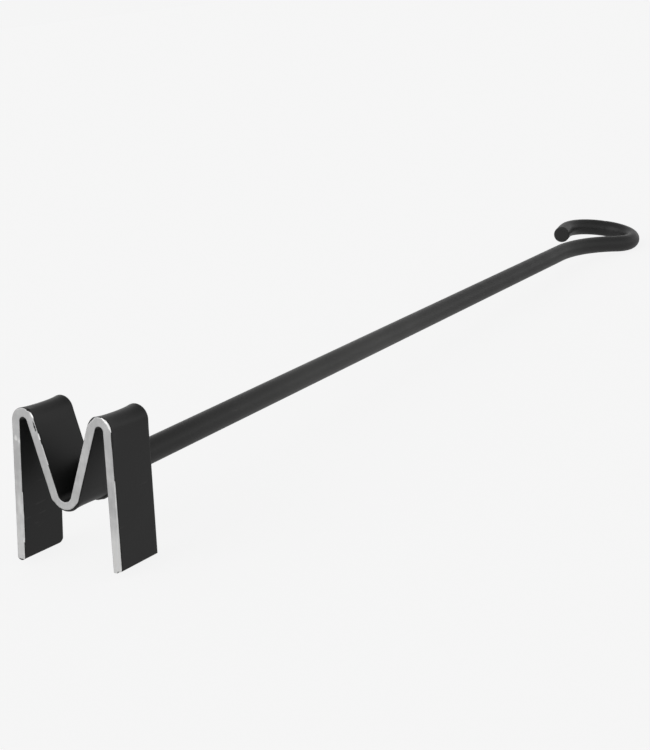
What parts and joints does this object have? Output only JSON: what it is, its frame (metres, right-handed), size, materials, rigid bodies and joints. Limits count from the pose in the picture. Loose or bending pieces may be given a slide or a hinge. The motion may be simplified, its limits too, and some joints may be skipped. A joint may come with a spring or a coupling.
{
  "type": "hive marking iron",
  "caption": "Hand-forged marking iron for hives: a flat bar bent into a plain letter, welded to a round shank with a rolled hanging loop.",
  "frame": {"origin": "on the marking face, at the middle of the V's bend, on the bar's mid-line", "axes": "+X across the letter to the viewer's right, +Y from the marking face back along the shank, +Z towards the letter's tops"},
  "size_m": [0.083, 0.4119, 0.0693],
  "materials": {
    "black_paint": "satin heat-resistant black paint over mild steel flat bar, ground bare on the marking face",
    "rod_paint": "satin heat-resistant black paint over mild steel round bar",
    "weld_paint": "satin heat-resistant black paint over weld metal",
    "ground_steel": "freshly ground bare steel of the marking face"
  },
  "bodies": {
    "root": {"letter_band": "black_paint", "handle_rod": "rod_paint", "weld_bead": "weld_paint"}
  },
  "joints": []
}
